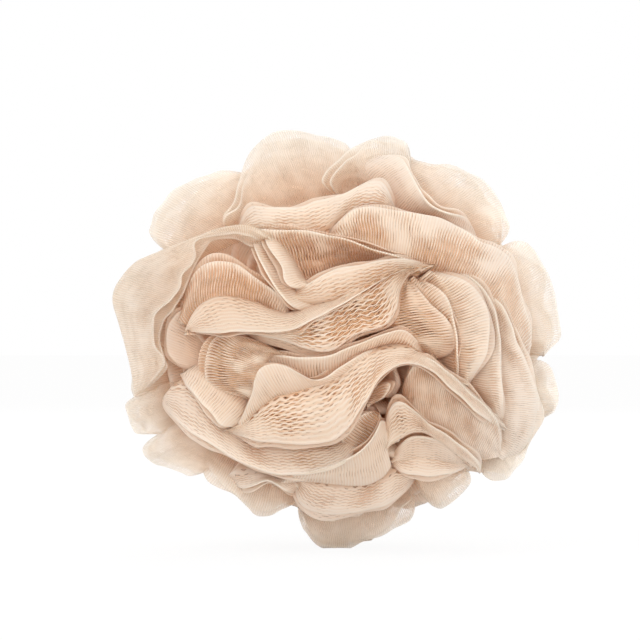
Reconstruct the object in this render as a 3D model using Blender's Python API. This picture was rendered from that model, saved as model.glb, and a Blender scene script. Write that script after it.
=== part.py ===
"""Mesh bath pouf, 140 mm across: three lengths of soft tubular net, tied at the waist and fanned out into ruffles.

Units are metres. +Z is up, +X is to the right and +Y points away from whoever looks at the pouf.
The origin lies under the middle of the ball, on the surface that the pouf rests on.
The waist points along Y: each net passes through the tie, one inside the other, and opens into ruffles at both ends.
"""

import math

import bmesh
import bpy
from mathutils import Matrix, Vector

MM = 0.001
INCH = 25.4 * MM

# Driving sizes of the ball
BALL_DIAMETER = 5.5 * INCH
BALL_DEPTH = 132 * MM
CENTRE_HEIGHT = 67.4 * MM
RESTING_HALF_WIDTH = 17 * MM
RESTING_HALF_DEPTH = 25 * MM
RESTING_SQUASH = 2.6 * MM

# Driving sizes of the gathered net and of its tie
FOLD_WIDTH = 3.4 * MM
INNER_CORE_RADIUS = 3.4 * MM
MIDDLE_SLEEVE_WALL = 1.9 * MM
OUTER_SLEEVE_WALL = 1.7 * MM
SEAT_GAP = 0.3 * MM
TIE_CORD_DIAMETER = 1.8 * MM
KNOT_WIDTH = 2.0 * MM
KNOT_HEIGHT = 2.4 * MM
KNOT_LENGTH = 5.0 * MM

# Ruffles that each length of net makes on either side of the tie, and steps round each ruffle
# The inner net's first ruffle is the tuft on the axis
INNER_RUFFLES, INNER_STEPS = 4, 50
MIDDLE_RUFFLES, MIDDLE_STEPS = 3, 76
OUTER_RUFFLES, OUTER_STEPS = 4, 97

# The lobes of the ball's outline: turn round the waist in degrees, 0 right and 90 up, and reach in millimetres
LOBES = (
    (2, 72.6), (22, 70.8), (46, 70.0), (73, 67.6), (103, 69.6), (138, 71.4), (167, 73.8), (201, 72.0),
    (219, 68.0), (244, 62.0), (273, 67.6), (305, 64.4), (325, 72.0), (344, 74.2),
)
LOBE_NOTCH = 5.0 * MM
LOBE_SWAY = 10.5
LOBE_SPREAD = 24.0

# Waves of the ruffles nearer the poles: opening and spread in degrees, waves round the ball, sway and start in degrees
WAVES = (
    (28, 13, 6, 5.5, 40),
    (54, 15, 9, 7.5, 10),
    (90, 24, 3, 4.5, 20),
    (126, 15, 9, 7.5, 75),
    (152, 13, 6, 5.5, 200),
)

# The S bend that the ruffles take across the front, in degrees of opening
BEND_SWAY = 11.0
BEND_LENGTH = 80.0
BEND_START = 25.0
BEND_SPREAD = 40.0
BEND_SQUEEZE = 0.55

NET_COLOUR = (0.90, 0.76, 0.64, 1.0)
CORD_COLOUR = (0.93, 0.90, 0.84, 1.0)

# Sizes that follow from the driving ones
MIDDLE_BORE_RADIUS = INNER_CORE_RADIUS + SEAT_GAP
MIDDLE_WAIST_RADIUS = MIDDLE_BORE_RADIUS + MIDDLE_SLEEVE_WALL
OUTER_BORE_RADIUS = MIDDLE_WAIST_RADIUS + SEAT_GAP
OUTER_WAIST_RADIUS = OUTER_BORE_RADIUS + OUTER_SLEEVE_WALL
TIE_RADIUS = OUTER_WAIST_RADIUS + SEAT_GAP + TIE_CORD_DIAMETER / 2
BULB_RADIUS = TIE_RADIUS + TIE_CORD_DIAMETER / 2 + SEAT_GAP
GROOVE_HALF_WIDTH = TIE_CORD_DIAMETER / 2 + SEAT_GAP
RUFFLES = INNER_RUFFLES + MIDDLE_RUFFLES + OUTER_RUFFLES
FOLD_STEP = 90 / (RUFFLES - 0.5)
LAST_ROOT = math.degrees(math.acos(GROOVE_HALF_WIDTH / TIE_RADIUS))
ROOT_STEP = LAST_ROOT / (RUFFLES - 0.5)


def clear_scene():
    for old in list(bpy.data.objects):
        bpy.data.objects.remove(old)


def finish(name, colour, roughness):
    material = bpy.data.materials.new(name)
    material.use_nodes = True
    shader = material.node_tree.nodes["Principled BSDF"]
    shader.inputs["Base Color"].default_value = colour
    shader.inputs["Roughness"].default_value = roughness
    shader.inputs["Metallic"].default_value = 0.0
    return material


def add_object(name, bm, material):
    mesh = bpy.data.meshes.new(name)
    bm.to_mesh(mesh)
    bm.free()
    mesh.shade_smooth()
    mesh.set_sharp_from_angle(angle=math.radians(50))
    mesh.materials.append(material)
    made = bpy.data.objects.new(name, mesh)
    bpy.context.scene.collection.objects.link(made)
    return made


def lobe_at(turn):
    """The outline's reach in that direction, and how many lobes have been passed on the way to it."""
    for number, (start, reach) in enumerate(LOBES):
        end, next_reach = LOBES[(number + 1) % len(LOBES)]
        span = (end - start) % 360
        past = (turn - start) % 360
        if past < span:
            break
    share = past / span
    ease = share * share * (3 - 2 * share)
    notch = LOBE_NOTCH * (1 - abs(2 * share - 1)) ** 1.5
    return (reach + (next_reach - reach) * ease) * MM - notch, number + share


def sway(opening, turn):
    """How far, in degrees, the ruffles there lean towards the back pole or the front one."""
    lobes_passed = lobe_at(turn)[1]
    lean = LOBE_SWAY * math.exp(-(((opening - 90) / LOBE_SPREAD) ** 2)) * math.sin(2 * math.pi * lobes_passed)
    for centre, spread, count, height, start in WAVES:
        share = math.exp(-(((opening - centre) / spread) ** 2))
        lean += height * share * math.sin(math.radians(count * turn + start))
    return lean * min(1.0, opening / 12, (180 - opening) / 12)


def bend(opening, turn, run):
    """The S bend across the front, as a shift in the plane that the viewer sees."""
    across = opening * math.cos(math.radians(turn))
    up = opening * math.sin(math.radians(turn))
    share = run * math.exp(-((opening / BEND_SPREAD) ** 2))
    up *= 1 - BEND_SQUEEZE * share
    up += BEND_SWAY * share * math.sin(2 * math.pi * (across + BEND_START) / BEND_LENGTH)
    return math.hypot(across, up), math.degrees(math.atan2(up, across))


def direction(opening, turn):
    opening, turn = math.radians(opening), math.radians(turn)
    return Vector((math.sin(opening) * math.cos(turn), -math.cos(opening), math.sin(opening) * math.sin(turn)))


def reach_along(way, turn):
    """From the middle of the ball to its surface, which reaches a little below the floor where the ball rests."""
    rim = lobe_at(turn)[0]
    reach = 1 / math.hypot(math.hypot(way.x, way.z) / rim, way.y / (BALL_DEPTH / 2))
    if way.z >= 0:
        return reach
    below_floor = (CENTRE_HEIGHT + RESTING_SQUASH) / -way.z
    spot = math.hypot(way.x * below_floor / RESTING_HALF_WIDTH, way.y * below_floor / RESTING_HALF_DEPTH)
    settled = min(1.0, max(0.0, 2 - spot))
    return reach + (below_floor - reach) * settled


def gathered(point):
    """Where a point of the plain fan lies once its net is gathered into ruffles and rests on the floor."""
    out = point.length
    if out <= BULB_RADIUS:
        return point.copy()
    run = (out - BULB_RADIUS) / (BALL_DIAMETER / 2 - BULB_RADIUS)
    opening = math.degrees(math.acos(max(-1.0, min(1.0, -point.y / out))))
    turn = math.degrees(math.atan2(point.z, point.x))
    opening, turn = bend(opening + run**0.8 * sway(opening, turn), turn, run)
    way = direction(opening, turn)
    place = way * (BULB_RADIUS + run * (reach_along(way, turn) - BULB_RADIUS))
    place.z = max(place.z, -CENTRE_HEIGHT)
    return place


def fan_point(out, opening):
    """A point of the profile, in the half plane through the waist's axis."""
    angle = math.radians(opening)
    return Vector((out * math.sin(angle), -out * math.cos(angle), 0))


def fold_profile(number):
    """The doubled edge of one ruffle, from its hinder layer of net to its front one. The tuft's is half as wide."""
    crest = BALL_DIAMETER / 2
    half = math.degrees(FOLD_WIDTH / 2 / crest)
    opening = number * FOLD_STEP
    return [fan_point(crest, opening + half), fan_point(crest, max(0.0, opening - half))]


def root_point(number, shift=0.0):
    """The valley behind a ruffle, where it meets the next one."""
    return fan_point(BULB_RADIUS, (number + 0.5) * ROOT_STEP + shift)


def net_profile(first, count, waist, bore):
    """Half of one net's section: from the waist, over its ruffles on the front side, to its bore or its tuft."""
    last = first + count - 1
    seam = math.degrees(SEAT_GAP / 2 / BULB_RADIUS)
    points = [Vector((waist, 0, 0))]
    if last == RUFFLES - 1:
        points += [Vector((waist, -GROOVE_HALF_WIDTH, 0)), root_point(last)]
    else:
        points.append(root_point(last, -seam))
    for number in range(last, first - 1, -1):
        points += fold_profile(number)
        if number > first:
            points.append(root_point(number - 1))
    if first:
        points += [root_point(first - 1, seam), Vector((bore, 0, 0))]
    return points


def add_net(name, first, count, waist, bore, steps, material):
    """One length of net: its section is spun about the waist, then gathered into ruffles."""
    front = net_profile(first, count, waist, bore)
    back = [Vector((point.x, -point.y, 0)) for point in reversed(front)]
    bm = bmesh.new()
    verts = [bm.verts.new(point) for point in back[:-1] + front]
    edges = [bm.edges.new(pair) for pair in zip(verts, verts[1:])]
    bmesh.ops.spin(
        bm, geom=verts + edges, cent=(0, 0, 0), axis=(0, 1, 0), angle=2 * math.pi, steps=steps, use_merge=True,
    )
    bmesh.ops.remove_doubles(bm, verts=bm.verts, dist=0.001 * MM)
    for vert in bm.verts:
        vert.co = gathered(vert.co) + Vector((0, 0, CENTRE_HEIGHT))
    bmesh.ops.recalc_face_normals(bm, faces=bm.faces)
    return add_object(name, bm, material)


def add_tie(material):
    """The cord round the waist, with its knot in the groove between the front and back ruffles."""
    bpy.ops.mesh.primitive_torus_add(
        major_radius=TIE_RADIUS, minor_radius=TIE_CORD_DIAMETER / 2, major_segments=28, minor_segments=6,
        location=(0, 0, CENTRE_HEIGHT), rotation=(math.radians(90), 0, 0),
    )
    ring = bpy.context.object
    ring.name = ring.data.name = "waist_tie"
    ring.data.materials.append(material)
    bm = bmesh.new()
    bmesh.ops.create_uvsphere(bm, u_segments=10, v_segments=6, radius=0.5)
    bmesh.ops.scale(bm, vec=(KNOT_LENGTH, KNOT_WIDTH, KNOT_HEIGHT), verts=bm.verts)
    knot = add_object("knot", bm, material)
    knot.location.z = CENTRE_HEIGHT + TIE_RADIUS
    knot.hide_render = True
    join = ring.modifiers.new("knot", "BOOLEAN")
    join.operation = "UNION"
    join.object = knot


def centre_over_origin(nets):
    """Moves the finished ball sideways, so that the middle of its box stands over the origin."""
    corners = [vert.co for net in nets for vert in net.data.vertices]
    middle_x = (min(p.x for p in corners) + max(p.x for p in corners)) / 2
    middle_y = (min(p.y for p in corners) + max(p.y for p in corners)) / 2
    for made in bpy.data.objects:
        made.location.x -= middle_x
        made.location.y -= middle_y


def main():
    clear_scene()
    net = finish("soft net", NET_COLOUR, 0.75)
    cord = finish("tie cord", CORD_COLOUR, 0.6)
    inner = add_net("mesh_tube_inner", 0, INNER_RUFFLES, INNER_CORE_RADIUS, 0, INNER_STEPS, net)
    middle = add_net(
        "mesh_tube_middle", INNER_RUFFLES, MIDDLE_RUFFLES, MIDDLE_WAIST_RADIUS, MIDDLE_BORE_RADIUS, MIDDLE_STEPS, net
    )
    outer = add_net(
        "mesh_tube_outer", INNER_RUFFLES + MIDDLE_RUFFLES, OUTER_RUFFLES, OUTER_WAIST_RADIUS, OUTER_BORE_RADIUS,
        OUTER_STEPS, net,
    )
    add_tie(cord)
    centre_over_origin([inner, middle, outer])


main()
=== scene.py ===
"""Looks of the mesh bath pouf: wavy ruffles of soft knitted net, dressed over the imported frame.

Lengths are in metres, in the frame's own place: +Z up, +X right, +Y away from the camera.
The front folds are traced on the photograph, and the ruffles behind them follow the waves of the frame.
"""

import math

import bmesh
import bpy
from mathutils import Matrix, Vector, noise

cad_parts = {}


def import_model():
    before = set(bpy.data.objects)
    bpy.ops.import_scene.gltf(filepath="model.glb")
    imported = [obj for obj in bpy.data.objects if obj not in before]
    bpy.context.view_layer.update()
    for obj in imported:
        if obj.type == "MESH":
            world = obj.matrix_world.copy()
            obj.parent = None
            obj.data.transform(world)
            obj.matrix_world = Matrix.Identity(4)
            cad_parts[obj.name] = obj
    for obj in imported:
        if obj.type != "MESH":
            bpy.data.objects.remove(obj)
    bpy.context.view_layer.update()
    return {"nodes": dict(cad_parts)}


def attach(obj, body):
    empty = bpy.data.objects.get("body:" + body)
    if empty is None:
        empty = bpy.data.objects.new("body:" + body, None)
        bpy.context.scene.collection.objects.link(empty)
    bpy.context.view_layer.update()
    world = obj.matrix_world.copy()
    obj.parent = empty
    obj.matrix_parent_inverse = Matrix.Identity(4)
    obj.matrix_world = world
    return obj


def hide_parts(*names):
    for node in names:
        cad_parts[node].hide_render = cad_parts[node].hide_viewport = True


MM = 0.001

# The photograph's frame and the scale of the ball in it
PHOTO_SIZE = 640
PIXEL = 0.3226 * MM
BALL_COLUMN = 336
FLOOR_ROW = 548
CAMERA_DISTANCE = 1.1
CAMERA_NEAR = 0.05
CAMERA_X = (PHOTO_SIZE / 2 - BALL_COLUMN) * PIXEL
CAMERA_Z = (FLOOR_ROW - PHOTO_SIZE / 2) * PIXEL
SENSOR_WIDTH = 36.0

# The ball that the ruffles fill
BALL_CENTRE = Vector((0, 0, 67.4 * MM))
BALL_HALF_WIDTH = 72.5 * MM
BALL_HALF_HEIGHT = 68.0 * MM
BALL_HALF_DEPTH = 65.0 * MM
BULB_RADIUS = 10.0 * MM
LOWEST = 0.2 * MM

# 0 would give a true ellipsoid, on which a small wave of the outline becomes a deep crease of its petal
PETAL_SOFTNESS = 0.3
FOLD_SOFTNESS = 0.06

# The grid of the net, the round fold at a ruffle's edge, and the net's way into the tied middle
COLUMN_STEP = 0.8 * MM
ROW_STEP = 0.9 * MM
LEAST_STEPS = 6
ROUGH_STEPS = 8
CURVE_STEPS = 8
FOLD_RADIUS = 0.5 * MM
FOLD_ROWS = 6
LAYER_PUFF = 1.2
TAIL_ROWS = 5
TAIL_PULL = 6 * MM
CORE_SHARE = 0.25
SAME_PLACE = 0.01 * MM

# The swell of a traced fold, and the waves and pleats of its net
BELLY = 0.4 * MM
DEPTH_BOW = 0.62
CREST_WAVE = 0.5 * MM
CREST_WAVE_LENGTH = 8 * MM
SWELL = 1.1 * MM
SWELL_LENGTH = 11 * MM
SWELL_ACROSS = 1.5
PLEAT = 0.3 * MM
PLEAT_WIDTH = 1.5 * MM
PLEAT_LENGTH = 14 * MM

# The ends of a traced fold: a petal turns round and tucks in, any other fold narrows to a pinch
TUCK_LENGTH = 10 * MM
TUCK_ROUNDNESS = 0.8
TUCK_DEPTH = 8 * MM
PINCH_LENGTH = 15 * MM
PINCH_SHARE = 0.3
END_WIDTH = 0.06

# The next layer of net, which shows past a fold
LAYER_STEP_OUT = 2.2 * MM
LAYER_STEP_BACK = 3.2 * MM
PETAL_STEP_IN = -3.6 * MM
PETAL_STEP_FORWARD = -2.6 * MM
LAYER_LEAST = 0.55
LAYER_UNEVEN = 0.9
LAYER_WAVE_LENGTH = 14 * MM
LAYER_WAVE_PLACE = 5

# How far the net is pulled open, in patches, and how little at the folded edges
FRONT_EXTRA_OPENNESS = 0.12
FRONT_EDGE_OPENNESS = 0.35
PETAL_EDGE_OPENNESS = 0.6
RUFFLE_OPENNESS = 0.6
RUFFLE_EDGE_OPENNESS = 0.4
PATCH_MEAN = 0.8
PATCH_UNEVEN = 0.9
PATCH_LENGTH = 9 * MM
PATCH_WIDTH = 5 * MM
CLOSED_EDGE = 0.3
CLOSED_WIDTH = 4 * MM
LONG_HOLES = 1.8

# How strongly painted shade browns a layer that lies behind another, and how wide the painted highlight
# along a fold's edge is
HIDDEN_LAYER_SHADE = 0.25
HINDER_LAYER_SHADE = 0.85
HINDER_ROWS = 3
EDGE_HIGHLIGHT_WIDTH = 2.6 * MM

# Seeds of the smooth noise: a different one for each sheet of net
SEED_STEP = 7.31
PETAL_LAYER_SEED = 300
FOLD_LAYER_SEED = 200
BACK_SEED = 100
FILL_SEED = 120

# The frame's lobes: turn round the waist in degrees, 0 right and 90 up, and reach in millimetres
LOBES = (
    (2, 72.6), (22, 70.8), (46, 70.0), (73, 67.6), (103, 69.6), (138, 71.4), (167, 73.8), (201, 72.0),
    (219, 68.0), (244, 62.0), (273, 67.6), (305, 64.4), (325, 72.0), (344, 74.2),
)
LOBE_NOTCH = 5.0 * MM

# The waves of the frame, repeated from its source: the ruffles behind the traced folds follow them
# Each wave: where it is and how far it spreads in degrees from the front, how many crests it has
# round the ball, its height and its start in degrees
WAVES = (
    (28, 13, 6, 5.5, 40),
    (54, 15, 9, 7.5, 10),
    (90, 24, 3, 4.5, 20),
    (126, 15, 9, 7.5, 75),
    (152, 13, 6, 5.5, 200),
)
CALM_AXIS = 12
BEND_SWAY = 11.0
BEND_LENGTH = 80.0
BEND_START = 25.0
BEND_SPREAD = 40.0
BEND_SQUEEZE = 0.55

# The rim sways less than in the frame, so that no steep wall of net shows through the petals
# Its ruffles lean forward no further than this many degrees, and stay behind the petals
LOBE_SWAY = 6.5
LOBE_SPREAD = 24.0
RIM_BAND = 9.0
RIM_LEAN = 2.0

# The spot that the ball rests on
RESTING_REACH = 70.0 * MM
RESTING_SHIFT = 4 * MM
RESTING_HALF_WIDTH = 9 * MM
RESTING_HALF_DEPTH = 25 * MM
UNDERSIDE = -0.2

# The frame's ruffles: each net makes them on both sides of the tie, numbered from the tuft on the axis
RUFFLES = 11
RUFFLE_STEP = 90 / (RUFFLES - 0.5)
TUFT_OPENING = 2.5
AXIS_GAP = 0.5
NET_RUFFLES = {"inner": range(0, 4), "middle": range(4, 7), "outer": range(7, 11)}
BALL_DEPTH = 132 * MM
BACK_REACHES = (0.98, 0.99, 0.975, 0.99, 0.98, 0.99, 0.985, 0.975, 0.97, 0.93, 0.91)
FILL_REACHES = (0.66, 0.70, 0.72, 0.72, 0.73, 0.72, 0.73, 0.72, 0.74, 0.78, 0.84)

# A ruffle's grid, the roundness of its doubled edge, and its wrinkles
RUFFLE_RADIUS = 70 * MM
RUFFLE_ROWS = 15
RUFFLE_COLUMN = 1.2 * MM
RUFFLE_START = 0.14
RUFFLE_CROWDING = 1.25
RUFFLE_FOLD = 1.4 * MM
RUFFLE_PUFF = 0.9
PUFF_ROWS = 9
LEAST_RING = 0.25
LEAST_LEVER = 0.35
EDGE_UNEVEN = 0.02
EDGE_WAVE_LENGTH = 7 * MM
WRINKLE = 0.45 * MM
WRINKLE_LENGTH = 2.4 * MM
WRINKLE_SHIFT = 0.12
DRIFT = 1.0 * MM
DRIFT_LENGTH = 9 * MM
DRIFT_SHIFT = 0.1
SWAY_GROWTH = 0.8
FLOP_GROWTH = 3
FLOP_RING = 60
FLOPS = ((3.0, 2.3), (2.0, 5.1))
RUFFLE_LOWEST = 0.4 * MM

# Where the net is free and sheer, and where it lies deep in the ball and is given painted shade, as shares
# of the ball's half sizes
FREE_START = 0.5
FREE_WIDTH = 0.4
RECESS_SHADE_START = 0.95
RECESS_SHADE_WIDTH = 0.38
MOST_RECESS_SHADE = 0.85
FREE_FADE = 0.75
SHEER_LOSS = 0.8

# The knit, in millimetres
THREAD_STEP = 0.5
THREAD_CURL = 0.1
CLOSED_CURL = 0.2
HOLE_LENGTH = 4.0
LOOP_LENGTH = 0.7
OPEN_THREAD = 0.1
CLOSED_THREAD = 0.36
UNEVEN_THREAD = 0.26
UNEVEN_SCALE = 0.55
WANDER = 0.9
WANDER_SCALE = 0.22
THREAD_SHARPNESS = 12.0
FILM_CLEARNESS = 0.3

# Colours of the net and the tie
NET_PALE = (0.92, 0.885, 0.81)
NET_SHADE = (0.905, 0.815, 0.70)
NET_GROOVE = (0.70, 0.47, 0.29)
# Painted shade: browner net deep in the ball
NET_PAINTED_RECESS_SHADE = (0.95, 0.58, 0.33)
# Painted shade: browner layers that lie behind another
NET_PAINTED_SHADE_BEHIND = (0.74, 0.45, 0.25)
# Paler net at the free rim: painted light of the white room seen through the thin net
NET_SHEER_BACKLIT = (0.94, 0.915, 0.865)
# Paler along folded edges: partly the denser doubled net, partly a painted highlight
NET_EDGE_HIGHLIGHT = (0.94, 0.925, 0.88)
NET_STREAK = (0.80, 0.66, 0.48)
CORD_PALE = (0.93, 0.90, 0.84)
CORD_SHADE = (0.70, 0.62, 0.54)

# How strongly those colours show
BLOTCH_SCALE = 55.0
GROOVE_OPEN = 1.9
GROOVE_CLOSED = 0.5
# How strongly the painted highlight on folded edges shows
EDGE_HIGHLIGHT = 0.75
SHEER_FADE = 0.6
STREAK_SCALE = (1.1, 0.12, 1.0)
STREAK_CONTRAST = 0.8
STREAK_CUT = 0.2

# Relief and gloss of the net
RIDGE_LEVEL = 0.5
THREAD_RIDGE = 1.2
PAIR_RIDGE = 0.6
STREAK_RIDGE = 1.2
LOOP_RIDGE = 0.08
NET_BUMP = 0.32
NET_RELIEF = 0.4 * MM
NET_ROUGHNESS = 0.68
NET_SPECULAR = 0.12
NET_SHEEN = 0.05
NET_SHEEN_ROUGHNESS = 0.4
NET_TRANSLUCENCE = 0.42

# The twist of the tie's cord
TWIST_SCALE = 900.0
TWIST_DISTORTION = 2.0
CORD_BUMP = 0.6
CORD_RELIEF = 0.3 * MM
CORD_ROUGHNESS = 0.75

# Floor, room and lamps
FLOOR_HALF_SIZE = 6.0
FLOOR_GREY = (0.95, 0.95, 0.95)
FLOOR_GLOW = 0.93
WHITE = (1.0, 1.0, 1.0)
WARM_WHITE = (1.0, 0.99, 0.97)
ROOM_COLOUR = (1.0, 0.985, 0.97)
ROOM_LIGHT = 0.83

# Each lamp: its name, its place and size in metres, its watts and its colour
LAMPS = (
    ("key_lamp", (-0.75, -0.85, 1.15), 0.8, 7.2, WARM_WHITE),
    ("fill_lamp", (0.9, -0.9, 0.5), 1.0, 2.8, WARM_WHITE),
    ("low_lamp", (0.0, -1.0, 0.08), 0.6, 5.0, WARM_WHITE),
    ("back_lamp", (0.3, 1.1, 0.9), 1.2, 9.0, WHITE),
)

# How often light may turn and pass through holes on its way through the layers of net
MAX_BOUNCES = 16
SOFT_BOUNCES = 10
HOLE_BOUNCES = 32


class Fold:
    """One ruffle of the front, traced on the photograph.

    crest and foot are pixel places along its folded edge and along its root, in the same direction.
    The sinks say in millimetres how far behind the ball's surface each of them lies, from end to end.
    slant is the threads' turn in degrees: 0 from the folded edge to the root, 90 along the edge.
    """

    def __init__(self, net, crest, foot, crest_sink, foot_sink, belly, openness, slant=0):
        self.net = net
        self.crest = crest
        self.foot = foot
        self.crest_sink = crest_sink
        self.foot_sink = foot_sink
        self.belly = belly * BELLY
        self.openness = openness
        self.slant = slant
        self.stretch = 1.0 if slant == 90 else LONG_HOLES


PETALS = (
    # The outline, clockwise from the left shoulder
    Fold(
        "outer",
        ((147, 253), (149, 235), (155, 215), (164, 203), (176, 190), (193, 181), (208, 176), (224, 170),
         (242, 165)),
        ((196, 268), (200, 255), (208, 243), (218, 232), (228, 222), (236, 212), (243, 200), (250, 188),
         (258, 176)),
        (0,), (20,), 2, 0.95,
    ),
    Fold(
        "outer",
        ((211, 228), (226, 214), (235, 200), (240, 182), (246, 161), (254, 149), (264, 139), (275, 133),
         (290, 131), (305, 133), (322, 137), (340, 142), (357, 147), (365, 146)),
        ((232, 232), (244, 226), (254, 218), (262, 214), (272, 212), (282, 211), (292, 210), (303, 208),
         (314, 206), (324, 203), (334, 199), (344, 195), (352, 190), (358, 184)),
        (3, 2, 1, 0, 0, 0, 0, 0), (18,), 0, 0.95,
    ),
    Fold(
        "outer",
        ((335, 199), (328, 191), (323, 181), (327, 172), (335, 164), (346, 154), (357, 147), (370, 141),
         (386, 138), (400, 140), (412, 146), (424, 153)),
        ((345, 203), (343, 197), (343, 190), (347, 185), (353, 182), (360, 181), (368, 182), (376, 184),
         (384, 188), (391, 194), (398, 202), (404, 208)),
        (4, 3, 2, 0, 0, 0, 0, 0), (18,), 0, 0.95,
    ),
    Fold(
        "outer",
        ((424, 152), (434, 163), (447, 165), (460, 169), (470, 174), (481, 181), (494, 194), (503, 212),
         (509, 228), (515, 244)),
        ((402, 158), (410, 172), (419, 186), (429, 198), (441, 207), (454, 212), (467, 216), (480, 224),
         (490, 234), (497, 246)),
        (0,), (17,), 0, 0.95,
    ),
    Fold(
        "outer",
        ((508, 232), (520, 239), (535, 254), (547, 275), (554, 298), (559, 325), (559, 338), (552, 350),
         (546, 358)),
        ((500, 250), (508, 258), (514, 272), (519, 290), (525, 308), (532, 324), (538, 338), (542, 348),
         (544, 356)),
        (0,), (14,), 1, 0.95,
    ),
    Fold(
        "outer",
        ((545, 350), (552, 372), (557, 396), (555, 408), (545, 418), (537, 430)),
        ((526, 362), (533, 380), (537, 395), (538, 406), (536, 416), (532, 426)),
        (0,), (15,), 1, 0.95,
    ),
    Fold(
        "outer",
        ((540, 420), (536, 432), (528, 441), (524, 457), (515, 468), (505, 478), (488, 480), (476, 478)),
        ((520, 416), (518, 428), (513, 438), (508, 446), (502, 452), (495, 457), (488, 461), (480, 464)),
        (0,), (16,), 1, 0.95,
    ),
    Fold(
        "outer",
        ((470, 462), (473, 470), (470, 480), (462, 491), (452, 500), (441, 508), (430, 512), (421, 509)),
        ((458, 466), (455, 469), (448, 471), (441, 472), (433, 472), (426, 472), (420, 473), (414, 476)),
        (1,), (14,), 1, 0.95,
    ),
    Fold(
        "outer",
        ((290, 515), (300, 523), (313, 540), (326, 547), (345, 548), (362, 541), (380, 535), (400, 525),
         (413, 516), (424, 505)),
        ((300, 500), (310, 506), (322, 509), (334, 510), (346, 510), (358, 508), (370, 506), (383, 503),
         (397, 499), (414, 494)),
        (0,), (18,), 1, 0.95,
    ),
    Fold(
        "outer",
        ((188, 474), (205, 480), (222, 488), (236, 494), (247, 505), (256, 514), (268, 515), (283, 511),
         (296, 519)),
        ((206, 452), (218, 456), (230, 462), (241, 468), (252, 473), (263, 478), (274, 483), (285, 489),
         (296, 498)),
        (0,), (15,), 1, 0.95,
    ),
    Fold(
        "outer",
        ((150, 434), (144, 444), (146, 455), (156, 463), (168, 467), (180, 471), (192, 476), (204, 480)),
        ((168, 428), (172, 432), (180, 436), (189, 441), (198, 447), (206, 452), (214, 458), (221, 463)),
        (0,), (16,), 1, 0.95,
    ),
    Fold(
        "outer",
        ((136, 392), (130, 397), (127, 406), (129, 416), (134, 430), (141, 435), (150, 438)),
        ((160, 385), (158, 395), (157, 405), (156, 414), (157, 422), (159, 428), (163, 434)),
        (0,), (15,), 1, 0.95,
    ),
    # The big lobe on the left
    Fold(
        "outer",
        ((262, 256), (256, 250), (248, 244), (238, 239), (225, 238), (212, 240), (205, 247), (198, 258),
         (190, 272), (185, 286), (179, 299), (171, 310), (163, 320), (159, 333), (160, 348), (166, 363),
         (176, 378)),
        ((268, 238), (258, 229), (245, 225), (230, 226), (213, 230), (198, 236), (180, 243), (163, 250),
         (148, 256), (136, 262), (124, 274), (115, 288), (113, 302), (118, 320), (125, 345), (131, 370),
         (135, 396)),
        (4,), (2, 1, 0, 0, 0), 4, 0.95,
    ),
)

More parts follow.
